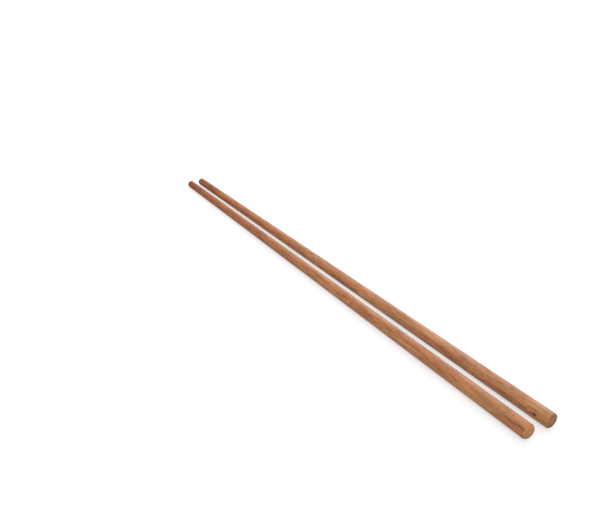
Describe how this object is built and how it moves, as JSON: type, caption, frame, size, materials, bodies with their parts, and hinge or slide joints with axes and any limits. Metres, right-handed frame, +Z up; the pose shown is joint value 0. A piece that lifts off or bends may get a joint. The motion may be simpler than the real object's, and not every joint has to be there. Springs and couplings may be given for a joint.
{
  "type": "pair of chopsticks",
  "caption": "Pair of slender round wooden chopsticks that taper from flat eased butts to blunt rounded tips, lying side by side and closing a little towards the tips.",
  "frame": {"origin": "on the surface that the pair lies on, under the middle of the pair", "axes": "+X from the tips to the butts along the pair, +Y from the left stick to the right stick, +Z up"},
  "size_m": [0.24, 0.02, 0.0068],
  "materials": {
    "stick_wood": "reddish-brown fine-grained hardwood, sanded and oiled to a soft satin"
  },
  "bodies": {
    "root": {"left_chopstick": "stick_wood", "right_chopstick": "stick_wood"}
  },
  "joints": []
}
